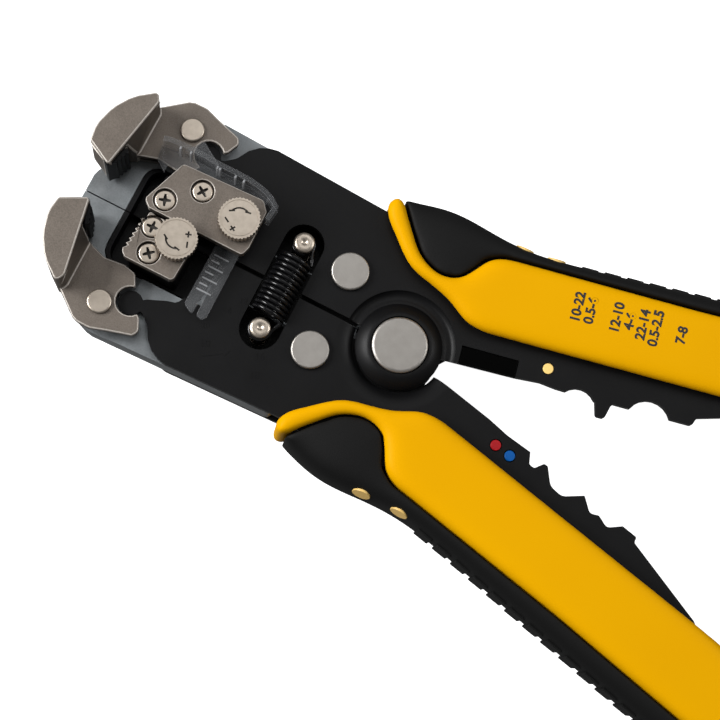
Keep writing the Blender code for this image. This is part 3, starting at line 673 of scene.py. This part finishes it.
# The places are distances along the handle: the first rib, then the two plugs let into the pad's edge.
RIBS, RIB_PITCH, RIB_SIZE = 17, 5.05, (3.7 * MM, 0.6 * MM, 8.5 * MM)
OUTSIDE = 45
for side, first_rib, plugs in (("upper", 36, {"front": 21.0, "rear": 28.2}),
                               ("lower", 29, {"front": 13.2, "rear": 21.8})):
    arm, way = side + "_arm", SIDES[side]
    shell = moulded(side + "_handle_shell", yellow, 90)
    pad = moulded(side + "_handle_pad", soft_black, 750, shell)
    for piece, node in ((shell, "_handle_shell"), (pad, "_handle_pad")):
        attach(piece, arm)
        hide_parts(side + node)

    inwards = in_handle(0, -1, way) - in_handle(0, 0, way)
    inwards.normalize()
    for index in range(RIBS):
        beside = in_handle(first_rib + RIB_PITCH * index, OUTSIDE, way, 9.5)
        found, place, normal, face = pad.ray_cast(beside, inwards)
        if not found:
            continue
        bpy.ops.mesh.primitive_cube_add(size=1)
        rib = bpy.context.object
        rib.name = f"{side}_pad_rib_{index}"
        rib.data.transform(Matrix.Translation(place)
                           @ Matrix.Rotation(math.radians(HANDLE_TURN * way), 4, "Z")
                           @ Matrix.Diagonal((*RIB_SIZE, 1)))
        ease(rib, 0.2, 2)
        finish_with(rib, soft_black)
        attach(rib, arm)
    for name, along in plugs.items():
        found, place, normal, face = pad.ray_cast(in_handle(along, OUTSIDE, way, 15.0), inwards)
        bpy.ops.mesh.primitive_cylinder_add(vertices=40, radius=2.0 * MM, depth=1.0 * MM)
        plug = bpy.context.object
        plug.name = f"{side}_pad_plug_{name}"
        plug.data.transform(Matrix.Translation(place - normal * 0.2 * MM)
                            @ normal.to_track_quat("Z", "Y").to_matrix().to_4x4())
        ease(plug, 0.12, 2)
        finish_with(plug, insert_finish)
        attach(plug, arm)
        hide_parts(f"{side}_pad_insert_{name}")


# ----------------------------------------------------------------------------- Cutter and crimp marks
# The cutter blade is bare dark steel, ground flat, and the marks beside the dies are drops of enamel.

blade_finish = Finish("cutter_steel", (0.0005, 0.0005, 0.0005), 0.6, 0.0, specular_ior_level=0.02)
blade_grain = blade_finish.noise(0.2 * MM, 2, (1, 6, 1))
blade_finish.feed("Roughness", 0.4 + blade_grain * 0.2)
eased("cutter_blade", "upper_arm", blade_finish, 0.06, 2)
for node, arm, colour in (("yellow_crimp_mark", "upper_arm", (0.95, 0.66, 0.22)),
                          ("red_crimp_mark", "lower_arm", (0.34, 0.008, 0.012)),
                          ("blue_crimp_mark", "lower_arm", (0.0, 0.08, 0.32))):
    enamel = Finish(node + "_enamel", colour, 0.35, specular_ior_level=0.2)
    speckle = enamel.noise(0.5 * MM, 2)
    enamel.feed("Base Color", enamel.blend(speckle, tuple(c * 0.75 for c in colour), colour))
    enamel.bump(speckle, 0.02 * MM)
    eased(node, arm, enamel, 0.15, 2, 50)


# --------------------------------------------------------------------------------------------- Legends
# Wire sizes printed in black on the upper handle, as numbers only. The lower plate has a few low raised
# numbers and an arrow, pressed in the metal under its paint.

ink = Finish("printing_ink", (0.012, 0.010, 0.010), 0.6)
ink_wear = ink.noise(0.3 * MM, 2)
ink.feed("Roughness", 0.5 + ink_wear * 0.2)


def numbered(name, text, height, depth, place, turn, finish, body, fatter=0.0):
    """Flat characters as a mesh, centred on a place and turned on it, riding on a body."""
    bpy.ops.object.text_add()
    label = bpy.context.object
    label.name = name
    label.data.body = text
    label.data.size = height * MM
    label.data.align_x = "CENTER"
    label.data.align_y = "CENTER"
    label.data.offset = fatter * MM
    label.data.extrude = depth * MM
    only(label)
    bpy.ops.object.convert(target="MESH")
    label = bpy.context.object
    label.data.transform(Matrix.Translation(place) @ Matrix.Rotation(math.radians(turn), 4, "Z"))
    finish_with(label, finish)
    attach(label, body)


SIZES = ("10-22", "0.5-6", "", "12-10", "4-6", "22-14", "0.5-2.5", "", "7-8")
FIRST_ROW, ROW_PITCH = 34.3, 2.87
for row, size in enumerate(SIZES):
    if size:
        numbered(f"size_legend_{row}", size, 2.9, 0.03, in_handle(FIRST_ROW + ROW_PITCH * row, 17.4, 1, 20.0),
                 HANDLE_TURN + 90, ink, "upper_arm", 0.1)

for text, x, y, height in (("10", -36.6, -18.4, 2.2), ("12", -33.6, -6.6, 2.0), ("14", -35.8, -10.0, 2.0),
                           ("16", -25.2, -15.6, 2.2), ("18", -24.4, -19.6, 2.2), ("20", -38.4, -14.9, 2.0)):
    numbered("raised_number_" + text, text, height, 0.07, in_head(x, y, 15.42), 26, paint, "lower_arm")
ARROW = [(-36.2, -20.6), (-32.6, -18.0), (-32.9, -17.6), (-31.2, -17.3), (-31.7, -18.9), (-32.2, -18.5),
         (-35.8, -21.1)]
arrow = outline_slab("raised_arrow", ARROW, 15.36, 15.49)
finish_with(arrow, paint)
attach(arrow, "lower_arm")
